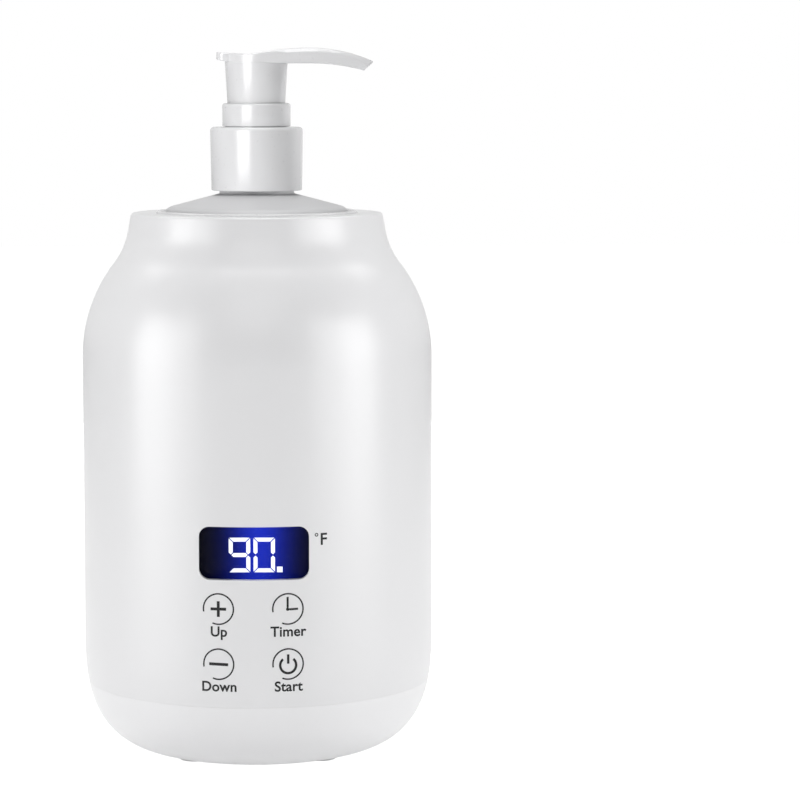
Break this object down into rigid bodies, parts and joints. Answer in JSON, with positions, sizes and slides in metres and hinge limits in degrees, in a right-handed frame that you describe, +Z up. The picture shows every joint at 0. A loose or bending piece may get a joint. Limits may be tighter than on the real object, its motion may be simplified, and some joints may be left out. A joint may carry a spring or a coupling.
{
  "type": "massage oil warmer",
  "caption": "Round table-top oil warmer with a lit digital display, touch keys, and a lift-out pump bottle that sits in a heated well.",
  "frame": {"origin": "centre of the body on the table plane, at the undersides of the rubber feet", "axes": "+Z up along the pump's axis, -Y towards the display, +X along the spout, +Y towards the power socket"},
  "size_m": [0.1106, 0.1106, 0.2226],
  "materials": {
    "shell_white": "satin white",
    "pump_white": "smooth white",
    "window_tint": "clear tinted acrylic",
    "display_blue": "lit blue display glass",
    "digit_white": "lit white segments",
    "frame_black": "moulded, black",
    "board_green": "coated circuit board",
    "chip_black": "moulded, black",
    "steel": "plain steel",
    "brass_tin": "tinned brass",
    "copper_wire": "varnished winding",
    "well_aluminium": "drawn, satin",
    "seal_silicone": "soft, pale",
    "pad_silicone": "soft, grey",
    "film_amber": "polyimide film",
    "felt_cream": "felt",
    "fuse_ceramic": "glazed ceramic body",
    "lead_white": "insulated wire",
    "lead_red": "insulated wire",
    "cap_blue": "sleeved can",
    "connector_cream": "moulded",
    "bottle_white": "blow-moulded, pale",
    "pump_natural": "natural, cloudy",
    "foot_grey": "soft, matt"
  },
  "bodies": {
    "warmer": {"outer_shell": "shell_white", "base_shell": "shell_white", "display_window": "window_tint", "light_frame": "frame_black", "display_panel": "display_blue", "digit_segments": "digit_white", "backlight_housing": "frame_black", "display_board": "board_green", "touch_chip": "chip_black", "touch_springs": "steel", "board_screws": "steel", "display_ribbon": "lead_white", "trim_ring": "pump_white", "well_seal": "seal_silicone", "heating_well": "well_aluminium", "well_clamp": "chip_black", "clamp_screws": "steel", "bottle_pad": "pad_silicone", "heater_film": "film_amber", "insulation_sleeve": "felt_cream", "thermistor": "chip_black", "thermal_fuse": "fuse_ceramic", "sensor_clip": "steel", "sensor_leads": "lead_white", "heater_leads": "lead_red", "power_board": "board_green", "power_board_screws": "steel", "capacitor": "cap_blue", "power_transistor": "chip_black", "choke_coil": "copper_wire", "buzzer": "chip_black", "wire_connectors": "connector_cream", "dc_jack": "chip_black", "dc_jack_pin": "brass_tin", "dc_jack_nut": "brass_tin", "power_leads": "lead_red", "base_screws": "steel", "rubber_feet": "foot_grey"},
    "bottle": {"bottle": "bottle_white"},
    "pump": {"pump_housing": "pump_natural", "neck_gasket": "seal_silicone", "guide_ring": "pump_white", "dip_tube": "pump_natural", "pump_spring": "steel"},
    "valve_ball": {"valve_ball": "steel"},
    "collar": {"collar": "pump_white"},
    "plunger": {"piston": "pump_natural"},
    "head": {"pump_stem": "pump_natural", "stem_plug": "pump_natural", "pump_head": "pump_white"}
  },
  "joints": [
    {"name": "bottle_lift", "type": "slide", "parent": "warmer", "child": "bottle", "axis": [0, 0, 1], "range_m": [0, 0.16]},
    {"name": "pump_rise", "type": "slide", "parent": "bottle", "child": "pump", "axis": [0, 0, 1], "range_m": [0, 0.00636]},
    {"name": "collar_turn", "type": "hinge", "parent": "pump", "child": "collar", "pos_m": [0, 0, 0.19], "axis": [0, 0, 1], "range_deg": [0, 720]},
    {"name": "ball_lift", "type": "slide", "parent": "pump", "child": "valve_ball", "axis": [0, 0, 1], "range_m": [0, 0.0015]},
    {"name": "head_press", "type": "slide", "parent": "pump", "child": "plunger", "axis": [0, 0, -1], "range_m": [0, 0.009], "stiffness_N_per_m": 450, "springref_m": -0.01, "deforming": ["pump_spring"]},
    {"name": "head_swivel", "type": "hinge", "parent": "plunger", "child": "head", "pos_m": [0, 0, 0.21], "axis": [0, 0, 1], "continuous": true}
  ],
  "couplings": [
    {"joint": "pump_rise", "follows": "collar_turn", "m_per_rad": 0.00050532}
  ]
}
